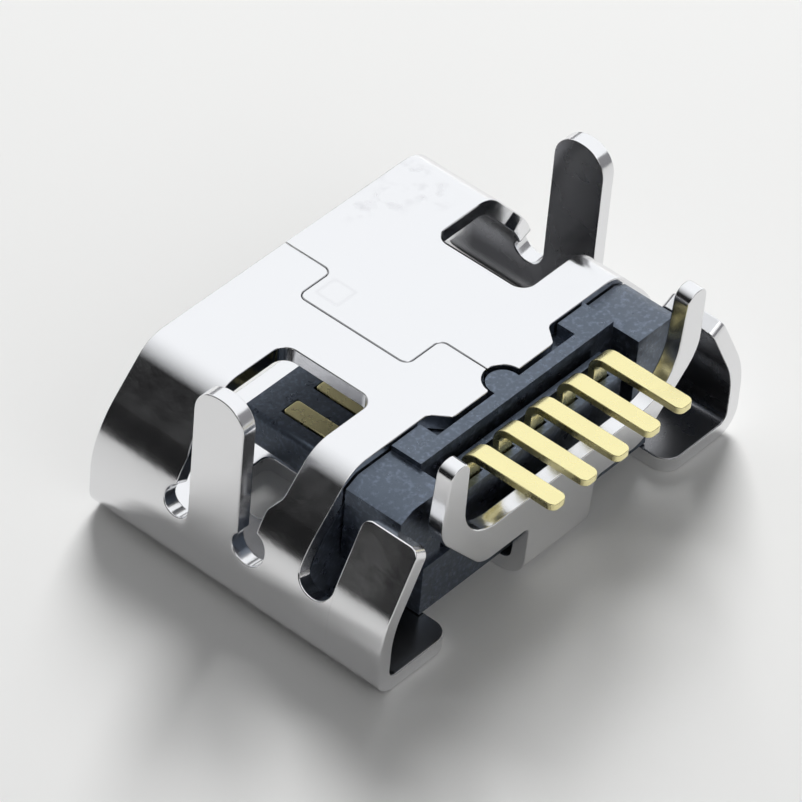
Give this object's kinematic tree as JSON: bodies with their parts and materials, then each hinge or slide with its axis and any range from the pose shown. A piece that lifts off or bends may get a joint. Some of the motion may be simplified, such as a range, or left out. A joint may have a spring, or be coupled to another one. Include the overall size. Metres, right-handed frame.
{
  "type": "micro usb socket",
  "caption": "Micro-B board socket: folded metal shell with windows, through-board legs and horned rear flap, black housing with a tongue, and gold solder contacts.",
  "frame": {"origin": "middle of the overall length and width, on the outer face of the wide plate, which the part lies on in the picture", "axes": "+X across the mouth, towards the plus-five-volt contact; +Y from the mouth towards the solder tails; +Z from the wide plate towards the board side"},
  "size_m": [0.0074, 0.006, 0.0034],
  "materials": {
    "plated_steel": "bright nickel plate on thin steel sheet, light scuffs",
    "black_plastic": "moulded, slightly satin",
    "gold_plating": "thin gold plate, smooth"
  },
  "bodies": {
    "root": {"shell": "plated_steel", "housing": "black_plastic", "contact_vbus": "gold_plating", "contact_d_minus": "gold_plating", "contact_d_plus": "gold_plating", "contact_id": "gold_plating", "contact_gnd": "gold_plating"}
  },
  "joints": []
}
